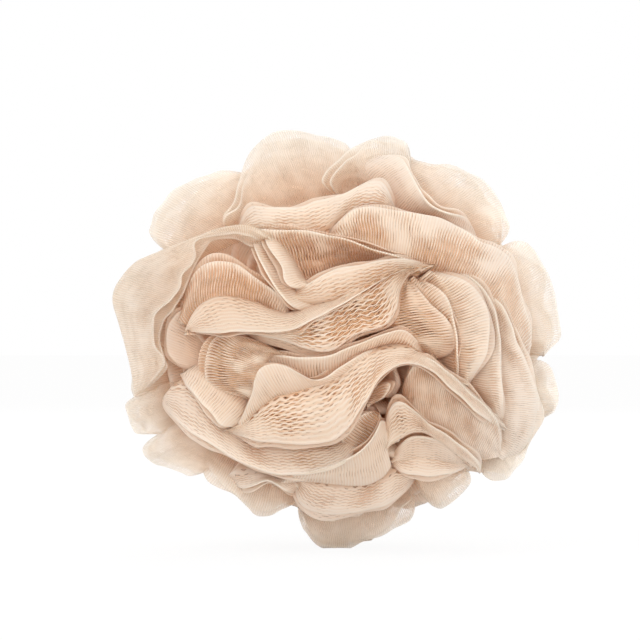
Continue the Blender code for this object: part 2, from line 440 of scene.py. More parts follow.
FRONT_FOLDS = (
    # The pocket under the rim of the big lobe
    Fold(
        "middle",
        ((205, 238), (222, 232), (240, 234), (254, 242), (266, 256), (278, 274), (290, 294), (300, 318)),
        ((185, 300), (200, 290), (215, 285), (232, 288), (248, 294), (264, 304), (280, 314), (296, 328)),
        (16,), (18,), -2, 0.2,
    ),
    Fold(
        "middle",
        ((200, 296), (188, 304), (176, 316), (168, 332), (168, 350), (176, 366), (188, 376)),
        ((215, 312), (208, 320), (203, 332), (200, 345), (203, 358), (210, 372), (220, 385)),
        (12,), (20,), -1, 0.2,
    ),
    Fold(
        "middle",
        ((176, 288), (184, 278), (192, 270), (204, 265), (218, 262), (235, 265), (250, 275), (266, 286),
         (284, 300), (298, 320)),
        ((178, 322), (188, 311), (200, 303), (214, 299), (228, 298), (243, 300), (257, 304), (270, 309),
         (284, 316), (299, 326)),
        (5,), (10,), 2, 1.0,
    ),
    # Folds of the upper half
    Fold(
        "outer",
        ((386, 140), (397, 152), (405, 165), (413, 180), (420, 193), (430, 205), (442, 212), (455, 215),
         (467, 213), (480, 207)),
        ((352, 160), (366, 168), (378, 176), (389, 186), (396, 198), (404, 208), (418, 216), (436, 224),
         (456, 232), (478, 240)),
        (1, 2), (14,), 3, 0.3,
    ),
    Fold(
        "middle",
        ((226, 219), (238, 210), (250, 205), (270, 209), (300, 208), (315, 203), (330, 199), (345, 195),
         (360, 187), (372, 182), (383, 182), (391, 189), (396, 198), (398, 209)),
        ((238, 232), (250, 229), (262, 229), (278, 231), (300, 232), (318, 229), (332, 222), (345, 214),
         (356, 210), (366, 208), (376, 206), (385, 206), (392, 208), (397, 212)),
        (1,), (6,), 2, 0.45, 90,
    ),
    Fold(
        "middle",
        ((316, 228), (328, 222), (342, 216), (356, 210), (372, 208), (390, 210), (405, 213), (420, 216),
         (438, 220), (455, 227), (468, 234), (480, 243), (494, 248), (506, 256), (514, 268), (519, 288),
         (525, 310), (534, 334), (545, 357)),
        ((324, 236), (336, 239), (350, 241), (366, 244), (384, 250), (402, 256), (420, 261), (436, 263),
         (448, 267), (458, 271), (468, 277), (478, 286), (488, 297), (495, 308), (500, 320), (505, 334),
         (510, 348), (515, 362), (522, 378)),
        (1,), (7,), 2, 0.8,
    ),
    Fold(
        "middle",
        ((222, 228), (240, 225), (258, 229), (275, 231), (300, 232), (330, 236), (346, 240), (362, 246),
         (378, 252), (400, 257), (420, 261), (436, 263)),
        ((262, 250), (274, 262), (284, 275), (292, 284), (304, 281), (322, 273), (338, 268), (354, 264),
         (370, 261), (388, 262), (410, 264), (430, 265)),
        (2,), (14,), 0, 1.4,
    ),
    Fold(
        "middle",
        ((240, 236), (248, 243), (256, 252), (263, 263), (270, 277), (280, 292), (290, 307), (302, 324)),
        ((258, 236), (265, 245), (273, 256), (281, 268), (288, 282), (298, 292), (312, 300), (326, 308)),
        (1,), (8,), 2, 0.25,
    ),
    Fold(
        "middle",
        ((256, 229), (267, 242), (275, 255), (283, 268), (286, 280), (293, 289), (305, 292)),
        ((268, 231), (279, 243), (288, 256), (294, 268), (298, 277), (306, 283), (318, 286)),
        (1.5,), (5,), 1, 0.2,
    ),
    Fold(
        "inner",
        ((283, 272), (290, 280), (302, 283), (325, 275), (340, 270), (370, 264), (400, 259), (420, 260),
         (436, 263)),
        ((288, 294), (297, 300), (312, 302), (330, 300), (350, 293), (375, 284), (400, 273), (418, 267),
         (434, 265)),
        (2,), (6,), 2, 0.5, 90,
    ),
    # The bands that sweep across the middle
    Fold(
        "inner",
        ((184, 337), (193, 339), (204, 338), (217, 333), (235, 330), (255, 331), (275, 331), (290, 330),
         (299, 326), (310, 319), (322, 314), (335, 307), (350, 299), (365, 290), (380, 281), (395, 273),
         (412, 268), (436, 263)),
        ((184, 335), (187, 325), (193, 313), (203, 304), (218, 298), (237, 299), (256, 304), (272, 310),
         (286, 313), (300, 310), (315, 305), (330, 301), (345, 296), (362, 289), (378, 281), (394, 274),
         (412, 268), (434, 264)),
        (0.5,), (7,), 3, 0.35, 90,
    ),
    Fold(
        "inner",
        ((232, 333), (255, 334), (285, 340), (303, 347), (320, 350), (336, 347), (355, 334), (372, 328),
         (387, 321), (396, 308), (401, 290), (410, 277), (420, 269)),
        ((240, 328), (260, 328), (282, 328), (296, 325), (310, 317), (325, 310), (342, 301), (358, 292),
         (372, 284), (386, 276), (398, 271), (410, 268), (422, 265)),
        (5,), (4,), 2, 0.9, 90,
    ),
    Fold(
        "inner",
        ((270, 340), (255, 337), (238, 335), (224, 334), (214, 341), (208, 353), (205, 368), (208, 381),
         (217, 391), (229, 399), (243, 405)),
        ((284, 354), (274, 353), (265, 354), (259, 357), (256, 361), (255, 366), (255, 371), (256, 378),
         (255, 386), (253, 393), (250, 400)),
        (7,), (4,), 2, 1.4,
    ),
    Fold(
        "inner",
        ((246, 358), (258, 353), (272, 354), (285, 356), (300, 359), (315, 359), (330, 356), (345, 350),
         (360, 344), (375, 338), (390, 333), (402, 331), (413, 335), (424, 343), (434, 352)),
        ((250, 368), (262, 367), (276, 366), (288, 370), (300, 375), (314, 379), (328, 377), (341, 368),
         (354, 358), (368, 350), (382, 345), (394, 343), (405, 345), (416, 351), (428, 358)),
        (4,), (8,), 1.5, 0.4,
    ),
    Fold(
        "inner",
        ((219, 431), (231, 427), (240, 418), (248, 406), (253, 394), (255, 381), (260, 370), (272, 365),
         (286, 367), (300, 374), (314, 380), (326, 378), (340, 369), (354, 360), (370, 351), (386, 346),
         (400, 345)),
        ((224, 436), (236, 433), (246, 426), (255, 416), (262, 408), (269, 401), (277, 396), (287, 394),
         (298, 392), (309, 390), (320, 388), (332, 383), (345, 375), (358, 366), (372, 358), (387, 352),
         (400, 350)),
        (3, 3, 3, 3, 8), (7,), 3, 0.25,
    ),
    Fold(
        "middle",
        ((219, 434), (240, 438), (262, 441), (290, 443), (315, 442), (334, 439), (346, 430), (356, 416),
         (367, 398), (378, 380), (390, 369), (403, 363), (418, 364), (434, 372), (450, 386), (468, 402),
         (486, 420), (504, 438)),
        ((222, 432), (244, 424), (270, 406), (295, 397), (314, 390), (330, 382), (344, 374), (356, 366),
         (368, 359), (380, 353), (394, 350), (410, 350), (425, 355), (440, 364), (455, 377), (472, 392),
         (490, 409), (508, 430)),
        (1,), (5,), 3, 0.5, 90,
    ),
    Fold(
        "middle",
        ((396, 362), (404, 356), (414, 355), (428, 359), (444, 370), (460, 384), (478, 401), (495, 418),
         (507, 433), (509, 446)),
        ((402, 402), (408, 409), (416, 415), (426, 421), (438, 429), (450, 437), (462, 445), (475, 452),
         (490, 458), (502, 456)),
        (5, 3, 3, 3, 3), (10, 8, 8, 8), -1, 0.7,
    ),
    Fold(
        "middle",
        ((384, 379), (389, 383), (388, 391), (383, 398), (377, 404)),
        ((377, 384), (375, 390), (374, 396), (371, 402), (368, 408)),
        (6,), (9,), 0, 1.0,
    ),
    # The bands of the lower half
    Fold(
        "middle",
        ((375, 404), (367, 411), (358, 419), (349, 429), (341, 440), (334, 450)),
        ((380, 412), (379, 422), (378, 432), (374, 442), (366, 450), (352, 458)),
        (5,), (8,), 1, 0.8,
    ),
    Fold(
        "middle",
        ((276, 470), (290, 473), (310, 472), (330, 467), (346, 460), (361, 451), (371, 441), (378, 428),
         (380, 414), (386, 403), (396, 399)),
        ((272, 486), (288, 483), (308, 482), (330, 484), (352, 486), (368, 485), (382, 478), (391, 466),
         (388, 455), (390, 445), (402, 438)),
        (1,), (6,), 4, 0.2,
    ),
    Fold(
        "middle",
        ((376, 410), (382, 402), (392, 399), (403, 403), (416, 413), (430, 425), (445, 435), (458, 444),
         (470, 453), (482, 463), (487, 475)),
        ((386, 448), (392, 443), (402, 438), (413, 432), (424, 432), (436, 439), (446, 446), (456, 453),
         (466, 460), (474, 466), (480, 474)),
        (1,), (5,), 2, 0.5, 90,
    ),
    Fold(
        "outer",
        ((386, 452), (400, 443), (414, 438), (428, 438), (442, 443), (455, 451), (466, 459), (475, 465)),
        ((388, 462), (404, 461), (420, 461), (436, 461), (448, 463), (460, 465), (468, 467), (474, 468)),
        (7, 5, 5, 5), (9,), 1, 0.3, 90,
    ),
    Fold(
        "outer",
        ((384, 468), (398, 471), (414, 474), (430, 475), (446, 473), (460, 470), (474, 468)),
        ((388, 456), (402, 458), (418, 459), (432, 460), (446, 462), (460, 464), (474, 466)),
        (5,), (9,), 0, 0.4, 90,
    ),
    Fold(
        "outer",
        ((284, 480), (288, 493), (300, 505), (316, 511), (335, 513), (352, 512), (368, 509), (384, 505),
         (402, 500), (424, 498)),
        ((296, 474), (304, 480), (316, 484), (330, 487), (344, 489), (358, 489), (371, 486), (384, 480),
         (398, 474), (416, 474)),
        (4,), (9,), 2, 0.5, 90,
    ),
    Fold(
        "outer",
        ((152, 428), (163, 426), (177, 426), (195, 434), (216, 447), (238, 460), (261, 469), (284, 474),
         (308, 474), (330, 468), (347, 461), (362, 452), (374, 442)),
        ((162, 400), (168, 391), (180, 389), (194, 392), (207, 405), (222, 421), (238, 434), (258, 441),
         (284, 443), (308, 443), (330, 442), (346, 436), (360, 428)),
        (2,), (10,), 2, 0.5, 90,
    ),
    Fold(
        "middle",
        ((174, 382), (182, 388), (192, 391), (200, 399), (208, 408), (217, 419), (226, 429), (238, 437)),
        ((180, 374), (190, 371), (200, 374), (211, 382), (223, 391), (237, 401), (245, 412), (244, 426)),
        (1,), (8,), 1, 0.3,
    ),
    Fold(
        "outer",
        ((226, 490), (240, 489), (254, 484), (266, 480), (276, 484), (288, 492), (300, 504)),
        ((228, 476), (240, 476), (252, 474), (264, 474), (276, 476), (288, 480), (298, 490)),
        (3,), (9,), 1, 0.3, 90,
    ),
    # The leaves that fan out from the pinch on the right
    Fold(
        "inner",
        ((414, 270), (420, 287), (428, 302), (443, 317), (454, 333), (458, 348), (455, 360), (446, 366)),
        ((408, 276), (402, 291), (396, 306), (393, 320), (402, 332), (415, 342), (428, 351), (438, 359)),
        (5,), (9,), 1, 0.9,
    ),
    Fold(
        "inner",
        ((418, 268), (429, 279), (440, 290), (448, 304), (453, 319), (457, 340), (457, 360), (461, 377),
         (471, 388)),
        ((414, 276), (420, 290), (428, 303), (440, 316), (450, 332), (454, 348), (453, 362), (456, 374),
         (464, 384)),
        (3,), (8,), 1, 0.9,
    ),
    Fold(
        "middle",
        ((436, 263), (450, 271), (463, 279), (477, 293), (486, 310), (489, 325), (487, 343), (483, 364),
         (478, 380), (471, 389)),
        ((430, 270), (440, 284), (448, 298), (453, 312), (457, 328), (460, 342), (461, 356), (463, 368),
         (466, 378), (469, 386)),
        (1.5,), (6,), 3, 0.5,
    ),
    Fold(
        "middle",
        ((446, 264), (466, 273), (482, 288), (493, 308), (498, 330), (500, 355), (500, 378), (503, 399),
         (506, 416), (509, 434)),
        ((452, 274), (464, 284), (476, 296), (485, 312), (489, 330), (488, 350), (485, 370), (487, 388),
         (494, 406), (500, 424)),
        (3,), (8,), 1, 0.5,
    ),
    Fold(
        "outer",
        ((486, 282), (498, 298), (508, 318), (515, 340), (524, 358), (532, 380), (537, 399), (537, 417),
         (530, 437), (524, 456), (514, 468)),
        ((484, 296), (493, 312), (499, 332), (502, 352), (504, 370), (506, 388), (508, 404), (510, 420),
         (511, 434), (509, 448), (502, 460)),
        (2,), (9,), 1, 0.5,
    ),
)


def clamped(value, low=0.0, high=1.0):
    return min(high, max(low, value))


def bell(offset, spread):
    """1 where there is no offset, and fading to 0 on both sides."""
    return math.exp(-((offset / spread) ** 2))


def eased(share):
    """A share from 0 to 1 that starts and ends gently."""
    return share * share * (3 - 2 * share)


def noise_at(x, y, seed):
    """A smooth random value between about -1 and 1, the same on each run."""
    return noise.noise(Vector((x, y, seed * SEED_STEP)))


def smooth_path(points, count):
    """count + 1 places spaced evenly along a smooth curve through the points."""
    ends = [points[0], *points, points[-1]]
    dense = []
    for before, start, end, after in zip(ends, ends[1:], ends[2:], ends[3:]):
        for step in range(CURVE_STEPS):
            t = step / CURVE_STEPS
            curve = 2 * start + (end - before) * t
            curve += (2 * before - 5 * start + 4 * end - after) * t**2
            curve += (3 * start - before - 3 * end + after) * t**3
            dense.append(curve / 2)
    dense.append(points[-1])
    passed = [0.0]
    for start, end in zip(dense, dense[1:]):
        passed.append(passed[-1] + (end - start).length)
    path, place = [], 0
    for number in range(count + 1):
        goal = passed[-1] * number / count
        while place < len(dense) - 2 and passed[place + 1] < goal:
            place += 1
        share = (goal - passed[place]) / max(1e-9, passed[place + 1] - passed[place])
        path.append(dense[place].lerp(dense[place + 1], share))
    return path


def path_length(path):
    return sum((end - start).length for start, end in zip(path, path[1:]))


def spread_value(values, share):
    """The value at that share of the way along a row of values."""
    place = share * (len(values) - 1)
    low = min(int(place), max(0, len(values) - 2))
    high = min(low + 1, len(values) - 1)
    return values[low] + (values[high] - values[low]) * (place - low)


def on_ball(column, row, sink, softness):
    """The place that shows at that pixel, sunk so far behind the ball's surface."""
    y = 0.0
    for _ in range(3):
        spread = PIXEL * (1 + y / CAMERA_DISTANCE)
        x = CAMERA_X + (column - PHOTO_SIZE / 2) * spread
        z = CAMERA_Z + (PHOTO_SIZE / 2 - row) * spread
        inside = max(0.0, 1 - (x / BALL_HALF_WIDTH) ** 2 - ((z - BALL_CENTRE.z) / BALL_HALF_HEIGHT) ** 2)
        y = sink - BALL_HALF_DEPTH * inside * math.sqrt((1 + softness) / (inside + softness))
    return Vector((x, y, z))


def traced_edge(points, sinks, count, softness):
    """An edge of a fold, from its pixels to places on the ball."""
    last = len(points) - 1
    marked = [Vector((*point, spread_value(sinks, number / last))) for number, point in enumerate(points)]
    return [on_ball(p.x, p.y, p.z * MM, softness) for p in smooth_path(marked, count)]


def tail(last, before, shift):
    """The net's way from the foot of a fold into the tied middle of the ball."""
    start = last + shift
    turn = start + (last - before).normalized() * TAIL_PULL
    end = BALL_CENTRE + (last - BALL_CENTRE) * CORE_SHARE + shift
    rows = []
    for step in range(1, TAIL_ROWS + 1):
        t = step / TAIL_ROWS
        rows.append(start * (1 - t) ** 2 + turn * 2 * t * (1 - t) + end * t**2)
    return rows


def folded_section(face, outward):
    """A section through a ruffle: tail and hinder layer, the round fold at its crest, then face and tail."""
    behind = Vector((0, 2 * FOLD_RADIUS, 0))
    hinder = []
    for number, place in enumerate(face):
        puff = 1 + LAYER_PUFF * math.sin(math.pi * number / (len(face) - 1))
        hinder.append(place + behind * puff)
    section = tail(face[-1], face[-2], behind)[::-1] + hinder[::-1]
    middle = face[0] + behind / 2
    for step in range(1, FOLD_ROWS):
        angle = math.pi * step / FOLD_ROWS
        section.append(middle + outward * FOLD_RADIUS * math.sin(angle) + behind / 2 * math.cos(angle))
    return section + face + tail(face[-1], face[-2], Vector())


def face_outwards(patch, places, sections, fold_row):
    """Turns the faces of a ruffle round if they point into its fold instead of out of it."""
    patch.normal_update()
    pointing_out = 0.0
    for vert, (column, row) in places.items():
        if row == fold_row:
            section = sections[column]
            inside = (section[row - FOLD_ROWS] + section[row + FOLD_ROWS]) / 2
            pointing_out += (section[row] - inside).dot(vert.normal)
    if pointing_out < 0:
        bmesh.ops.reverse_faces(patch, faces=patch.faces)


def add_cloth(bm, sections, lengths, knit, seed, hidden=0.0, hinder=0.0, film=0.0):
    """Lays a grid through the sections, with the net's threads, pull, folds and shade stored on it.

    hidden says how much painted shade browns the whole ruffle, where it lies behind another, and hinder how
    much painted shade browns its back layer.
    film is 1 for the thin petals of the rim, which can be seen through.
    """
    openness, slant, stretch, edge_openness = knit
    columns, rows = len(sections), len(sections[0])
    mesh = bpy.data.meshes.new("cloth")
    patch = bmesh.new()
    uv_layer = patch.loops.layers.uv.new("threads")
    pull_layer = patch.verts.layers.float.new("openness")
    edge_highlight_layer = patch.verts.layers.float.new("fold")
    shade_behind_layer = patch.verts.layers.float.new("behind")
    film_layer = patch.verts.layers.float.new("film")
    bmesh.ops.create_grid(patch, x_segments=columns - 1, y_segments=rows - 1, size=0.5)
    places = {}
    for vert in patch.verts:
        column = round((vert.co.x + 0.5) * (columns - 1))
        row = round((vert.co.y + 0.5) * (rows - 1))
        places[vert] = (column, row)
    fold_row = rows // 2
    for vert, (column, row) in places.items():
        vert.co = sections[column][row]
        from_fold = abs(row - fold_row) * ROW_STEP
        patch_wave = noise_at(column * COLUMN_STEP / PATCH_LENGTH, row * ROW_STEP / PATCH_WIDTH, seed)
        patchy = PATCH_MEAN + PATCH_UNEVEN * patch_wave
        pulled = clamped(from_fold / CLOSED_WIDTH - CLOSED_EDGE, low=edge_openness)
        vert[pull_layer] = min(1.0, openness * patchy * pulled)
        # Painted highlight along the folded edge, where the doubled net is also denser
        vert[edge_highlight_layer] = bell(from_fold, EDGE_HIGHLIGHT_WIDTH)
        # Painted shade on a ruffle that lies behind another and on its back layer
        vert[shade_behind_layer] = max(hidden, hinder * clamped((fold_row - row) / HINDER_ROWS))
        vert[film_layer] = film
    turned = math.cos(math.radians(slant)), math.sin(math.radians(slant))
    for face in patch.faces:
        for loop in face.loops:
            column, row = places[loop.vert]
            edge, depth = lengths[column] / MM, row * ROW_STEP / MM
            along = (depth * turned[0] - edge * turned[1]) / stretch
            loop[uv_layer].uv = (edge * turned[0] + depth * turned[1], along)
    face_outwards(patch, places, sections, fold_row)
    patch.to_mesh(mesh)
    patch.free()
    bm.from_mesh(mesh)
    bpy.data.meshes.remove(mesh)


def kept_width(to_end, length, petal):
    """How much of a fold's width is left that far from its end."""
    if petal:
        return math.sin(math.pi / 2 * min(1.0, to_end / TUCK_LENGTH)) ** TUCK_ROUNDNESS
    kept = min(1.0, to_end / min(PINCH_LENGTH, length * PINCH_SHARE))
    return kept * (2 - kept)


def fold_face(fold, top, root, length, width, rows, seed):
    """The front layer of a fold at one place along it, from its crest to its root."""
    turned = math.cos(math.radians(fold.slant)), math.sin(math.radians(fold.slant))
    face = []
    for row in range(rows + 1):
        share = row / rows
        place = top.lerp(root, share)
        place.y = top.y + (root.y - top.y) * share**DEPTH_BOW
        lift = fold.belly * math.sin(math.pi * share)
        lift += SWELL * noise_at(length / SWELL_LENGTH, share * SWELL_ACROSS, seed + 1)
        across = share * width
        run = length * turned[0] + across * turned[1]
        drawn = across * turned[0] - length * turned[1]
        lift += PLEAT * noise_at(run / PLEAT_WIDTH, drawn / PLEAT_LENGTH, seed + 2)
        place.y -= lift
        face.append(place)
    return face


def add_fold(bm, fold, seed, petal, step_out=0.0, step_back=0.0):
    """One traced ruffle of the front, or the next layer of net that shows past it."""
    softness = PETAL_SOFTNESS if petal else FOLD_SOFTNESS
    crest = traced_edge(fold.crest, fold.crest_sink, ROUGH_STEPS, softness)
    foot = traced_edge(fold.foot, fold.foot_sink, ROUGH_STEPS, softness)
    columns = max(LEAST_STEPS, round(max(path_length(crest), path_length(foot)) / COLUMN_STEP))
    width = sum((a - b).length for a, b in zip(crest, foot)) / len(crest)
    rows = max(LEAST_STEPS, round(width / ROW_STEP))
    crest = traced_edge(fold.crest, fold.crest_sink, columns, softness)
    foot = traced_edge(fold.foot, fold.foot_sink, columns, softness)
    sections, lengths = [], []
    for column, (top, root) in enumerate(zip(crest, foot)):
        length = column * COLUMN_STEP
        outward = Vector((top.x - root.x, 0, top.z - root.z)).normalized()
        top = top + outward * noise_at(length / CREST_WAVE_LENGTH, 0, seed) * CREST_WAVE
        if step_out:
            uneven = LAYER_UNEVEN * noise_at(length / LAYER_WAVE_LENGTH, LAYER_WAVE_PLACE, seed)
            top = top + outward * step_out * (LAYER_LEAST + uneven)
            top.y += step_back
            root = root + Vector((0, step_back, 0))
        kept = kept_width(min(column, columns - column) * COLUMN_STEP, columns * COLUMN_STEP, petal)
        top = root.lerp(top, END_WIDTH + (1 - END_WIDTH) * kept)
        top.y += TUCK_DEPTH * (1 - kept)
        sections.append(folded_section(fold_face(fold, top, root, length, width, rows, seed), outward))
        lengths.append(length)
    if petal:
        knit = (fold.openness, fold.slant, fold.stretch, PETAL_EDGE_OPENNESS)
        add_cloth(bm, sections, lengths, knit, seed, film=1.0)
    else:
        knit = (fold.openness + FRONT_EXTRA_OPENNESS, fold.slant, fold.stretch, FRONT_EDGE_OPENNESS)
        # The next layer past a fold gets painted shade, and every back layer more
        add_cloth(bm, sections, lengths, knit, seed, HIDDEN_LAYER_SHADE if step_out else 0.0, HINDER_LAYER_SHADE)


def lobe_at(turn):
    """How far the outline reaches at that turn round the waist, and how many lobes lie before it."""
    turn %= 360
    for number, (start, reach) in enumerate(LOBES):
        following, next_reach = LOBES[(number + 1) % len(LOBES)]
        span = (following - start) % 360
        passed = (turn - start) % 360
        if passed < span:
            share = passed / span
            notch = LOBE_NOTCH * (1 - abs(2 * share - 1)) ** 1.5
            return (reach + (next_reach - reach) * eased(share)) * MM - notch, number + share
    return LOBES[0][1] * MM, 0.0


def sway(opening, turn):
    """How many degrees the ruffles lean to and fro, as they do in the frame."""
    lean = LOBE_SWAY * bell(opening - 90, LOBE_SPREAD) * math.sin(2 * math.pi * lobe_at(turn)[1])
    for centre, spread, count, height, start in WAVES:
        lean += height * bell(opening - centre, spread) * math.sin(math.radians(count * turn + start))
    return lean * clamped(min(opening, 180 - opening) / CALM_AXIS)


def bend(opening, turn, run):
    """Draws the front ruffles together into bands that sweep across the ball."""
    across = opening * math.cos(math.radians(turn))
    up = opening * math.sin(math.radians(turn))
    share = run * bell(opening, BEND_SPREAD)
    up *= 1 - BEND_SQUEEZE * share
    up += BEND_SWAY * share * math.sin(2 * math.pi * (across + BEND_START) / BEND_LENGTH)
    return math.hypot(across, up), math.degrees(math.atan2(up, across))


def reach_along(way, turn):
    """How far the ball reaches that way, with its outline's lobes and the spot that it rests on."""
    rim = lobe_at(turn)[0]
    free = 1 / math.hypot(math.hypot(way.x, way.z) / rim, way.y / (BALL_DEPTH / 2))
    if way.z >= UNDERSIDE:
        return free
    resting = RESTING_REACH / -way.z
    across = (way.x * resting - RESTING_SHIFT) / RESTING_HALF_WIDTH
    settled = clamped(2 - math.hypot(across, way.y * resting / RESTING_HALF_DEPTH))
    return free + (resting - free) * eased(settled)


def in_ball(opening, turn, run):
    """The place at that share of the way out of the ball."""
    ring = Vector((math.cos(math.radians(turn)), math.sin(math.radians(turn)), opening / FLOP_RING))
    flop = sum(height * noise.noise(ring * waves) for height, waves in FLOPS)
    lean = run**SWAY_GROWTH * sway(opening, turn) + run**FLOP_GROWTH * flop
    if abs(opening - 90) < RIM_BAND:
        lean = max(lean, -RIM_LEAN)
    opened, turned = bend(opening + lean, turn, run)
    o, t = math.radians(opened), math.radians(turned)
    way = Vector((math.sin(o) * math.cos(t), -math.cos(o), math.sin(o) * math.sin(t)))
    place = way * (BULB_RADIUS + run * (reach_along(way, turned) - BULB_RADIUS))
    place.z = max(place.z, RUFFLE_LOWEST - BALL_CENTRE.z)
    return place + BALL_CENTRE


def ruffle_layer(opening, turn, ring, full, side, seed):
    """One layer of a ruffle's doubled net at that turn, from its edge to the tied middle."""
    layer = []
    for row in range(RUFFLE_ROWS):
        run = full - (full - RUFFLE_START) * (row / (RUFFLE_ROWS - 1)) ** RUFFLE_CROWDING
        puff = RUFFLE_FOLD * (1 + RUFFLE_PUFF * math.sin(math.pi * min(1.0, row / PUFF_ROWS)))
        puff += WRINKLE * noise.noise(Vector((*(ring / WRINKLE_LENGTH), seed + side + row * WRINKLE_SHIFT)))
        puff += DRIFT * side * noise.noise(Vector((*(ring / DRIFT_LENGTH), seed + row * DRIFT_SHIFT)))
        lean = side * math.degrees(puff / (RUFFLE_RADIUS * max(LEAST_LEVER, run)))
        layer.append(in_ball(clamped(opening + lean, AXIS_GAP, 180 - AXIS_GAP), turn, run))
    return layer


def add_ruffle(bm, opening, share, seed):
    """One whole ruffle round the ball, a doubled edge that stands out of the tied middle."""
    around = 2 * math.pi * RUFFLE_RADIUS * max(LEAST_RING, math.sin(math.radians(opening))) * share
    columns = round(around / RUFFLE_COLUMN)
    sections, lengths = [], []
    for column in range(columns + 1):
        turn = 360 * (column % columns) / columns
        radians = math.radians(turn)
        ring = Vector((math.cos(radians), math.sin(radians))) * around / (2 * math.pi)
        full = share + EDGE_UNEVEN * noise.noise(Vector((*(ring / EDGE_WAVE_LENGTH), seed)))
        front = ruffle_layer(opening, turn, ring, full, -1, seed)
        back = ruffle_layer(opening, turn, ring, full, 1, seed)
        middle = (front[0] + back[0]) / 2
        across = (back[0] - front[0]) / 2
        outward = (middle - BALL_CENTRE).normalized()
        bow = []
        for step in range(1, FOLD_ROWS):
            angle = math.pi * step / FOLD_ROWS
            bow.append(middle - across * math.cos(angle) + outward * across.length * math.sin(angle))
        sections.append(front[::-1] + bow + back)
        lengths.append(turn / 360 * around)
    lengths[-1] = around
    add_cloth(bm, sections, lengths, (RUFFLE_OPENNESS, 0, LONG_HOLES, RUFFLE_EDGE_OPENNESS), seed)


def shade_by_place(bm):
    """Stores the painted shade of net that lies deep in the ball, and how sheer the net is at its free rim.
    """
    shade_behind_layer = bm.verts.layers.float["behind"]
    recess_shade_layer = bm.verts.layers.float.new("depth")
    sheer_layer = bm.verts.layers.float.new("sheer")
    for vert in bm.verts:
        way = vert.co - BALL_CENTRE
        out = math.hypot(way.x / BALL_HALF_WIDTH, way.y / BALL_HALF_DEPTH, way.z / BALL_HALF_HEIGHT)
        spread = math.hypot(way.x / BALL_HALF_WIDTH, way.z / BALL_HALF_HEIGHT)
        free = clamped((spread - FREE_START) / FREE_WIDTH)
        # Painted shade: the deeper the net lies in the ball, the browner it is coloured, fading out at the
        # free rim
        recess_shade = clamped((RECESS_SHADE_START - out) / RECESS_SHADE_WIDTH, high=MOST_RECESS_SHADE)
        vert[recess_shade_layer] = recess_shade * (1 - FREE_FADE * free)
        # The painted shade of layers behind others fades out at the free rim too
        vert[shade_behind_layer] *= 1 - FREE_FADE * free
        vert[sheer_layer] = free * (1 - SHEER_LOSS * vert[recess_shade_layer])


def finish_piece(name, bm, cloth, net):
    bmesh.ops.remove_doubles(bm, verts=bm.verts, dist=SAME_PLACE)
    for vert in bm.verts:
        vert.co.z = max(vert.co.z, LOWEST)
    shade_by_place(bm)
    mesh = bpy.data.meshes.new(name)
    bm.to_mesh(mesh)
    bm.free()
    mesh.polygons.foreach_set("use_smooth", [True] * len(mesh.polygons))
    mesh.materials.append(cloth)
    piece = bpy.data.objects.new(name, mesh)
    bpy.context.collection.objects.link(piece)
    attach(piece, "root")
    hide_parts("mesh_tube_" + net)


def add_net(cloth):
    """The three nets: the traced folds of the front, and the whole ruffles behind them."""
    nets = ("outer", "middle", "inner")
    bm = bmesh.new()
    for number, fold in enumerate(PETALS):
        add_fold(bm, fold, number, True)
        add_fold(bm, fold, number + PETAL_LAYER_SEED, True, PETAL_STEP_IN, PETAL_STEP_FORWARD)
    finish_piece("outer_rim_petals", bm, cloth, "outer")
    for net in nets:
        bm = bmesh.new()
        for number, fold in enumerate(FRONT_FOLDS, len(PETALS)):
            if fold.net == net:
                add_fold(bm, fold, number, False)
                add_fold(bm, fold, number + FOLD_LAYER_SEED, False, LAYER_STEP_OUT, LAYER_STEP_BACK)
        finish_piece(net + "_front_ruffles", bm, cloth, net)
    for net in nets:
        bm = bmesh.new()
        for number in NET_RUFFLES[net]:
            opening = min(180 - TUFT_OPENING, 180 - number * RUFFLE_STEP)
            add_ruffle(bm, opening, BACK_REACHES[number], BACK_SEED + number)
            if number:
                add_ruffle(bm, number * RUFFLE_STEP, FILL_REACHES[number], FILL_SEED + number)
        finish_piece(net + "_back_ruffles", bm, cloth, net)


def new_material(name):
    """An empty material, with its nodes and links."""
    material = bpy.data.materials.new(name)
    material.use_nodes = True
    nodes, links = material.node_tree.nodes, material.node_tree.links
    nodes.clear()
    return material, nodes, links


def attribute(nodes, name):
    """A value that is stored on the net's points."""
    node = nodes.new("ShaderNodeAttribute")
    node.attribute_name = name
    return node.outputs["Fac"]


def math_node(nodes, links, operation, *values):
    node = nodes.new("ShaderNodeMath")
    node.operation = operation
    for socket, value in zip(node.inputs, values):
        if isinstance(value, (int, float)):
            socket.default_value = value
        else:
            links.new(value, socket)
    return node.outputs[0]


def mixed_colour(nodes, links, share, first, second):
    node = nodes.new("ShaderNodeMix")
    node.data_type = "RGBA"
    for socket, value in ((node.inputs[0], share), (node.inputs[6], first), (node.inputs[7], second)):
        if isinstance(value, tuple):
            socket.default_value = (*value, 1.0)
        else:
            links.new(value, socket)
    return node.outputs[2]


def mixed_shader(nodes, links, share, first, second):
    node = nodes.new("ShaderNodeMixShader")
    if isinstance(share, float):
        node.inputs[0].default_value = share
    else:
        links.new(share, node.inputs[0])
    links.new(first, node.inputs[1])
    links.new(second, node.inputs[2])
    return node.outputs[0]


def noise_node(nodes, links, place, scale, detail):
    node = nodes.new("ShaderNodeTexNoise")
    node.inputs["Scale"].default_value = scale
    node.inputs["Detail"].default_value = detail
    links.new(place, node.inputs["Vector"])
    return node.outputs[0]


def bump_node(nodes, links, height, strength, relief):
    node = nodes.new("ShaderNodeBump")
    node.inputs["Strength"].default_value = strength
    node.inputs["Distance"].default_value = relief
    links.new(height, node.inputs["Height"])
    return node.outputs[0]


def finish_material(nodes, links, shader):
    out = nodes.new("ShaderNodeOutputMaterial")
    links.new(shader, out.inputs[0])


